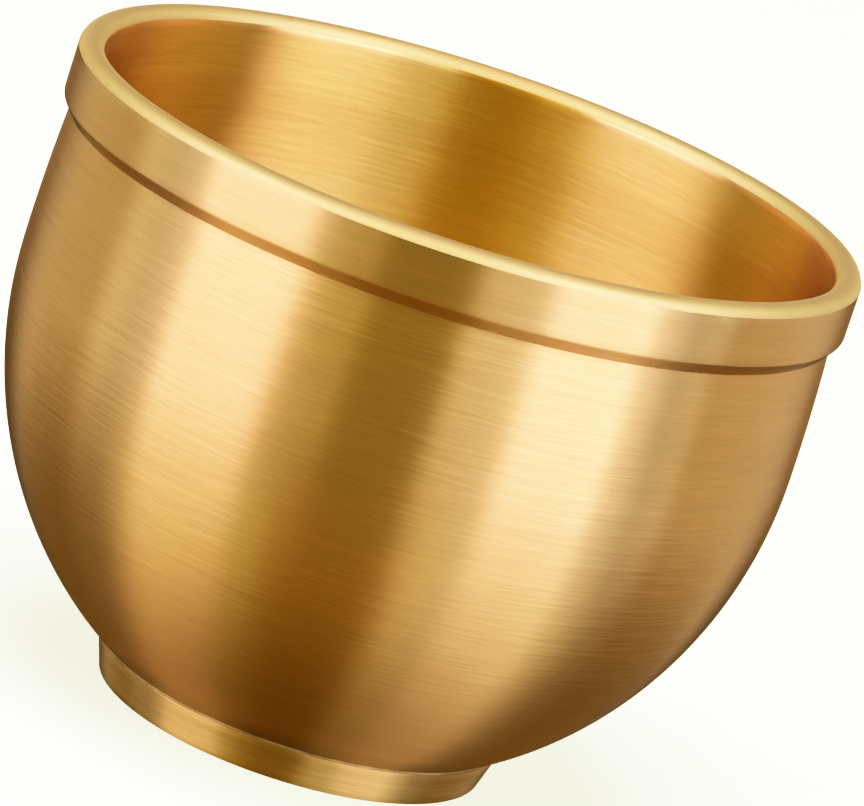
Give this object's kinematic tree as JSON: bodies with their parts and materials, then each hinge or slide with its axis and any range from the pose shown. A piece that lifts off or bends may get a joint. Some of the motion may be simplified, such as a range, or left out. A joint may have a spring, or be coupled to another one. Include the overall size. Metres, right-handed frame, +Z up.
{
  "type": "shaving bowl",
  "caption": "Round brushed-brass shaving bowl: a deep open cup with a raised rim band round its mouth and a low foot ring to stand on.",
  "frame": {"origin": "middle of the plane that the foot ring stands on", "axes": "+Z up along the bowl's axis of turning, towards the mouth; the bowl is the same in every direction round it"},
  "size_m": [0.1, 0.1, 0.0766],
  "materials": {
    "cup_brass": "brushed round the bowl",
    "rim_brass": "finely brushed round the rim",
    "foot_brass": "brushed round the ring",
    "solder": "dull hard solder"
  },
  "bodies": {
    "root": {"bowl_body": "cup_brass", "rim_band": "rim_brass", "foot_ring": "foot_brass", "rim_solder": "solder", "foot_solder": "solder"}
  },
  "joints": []
}
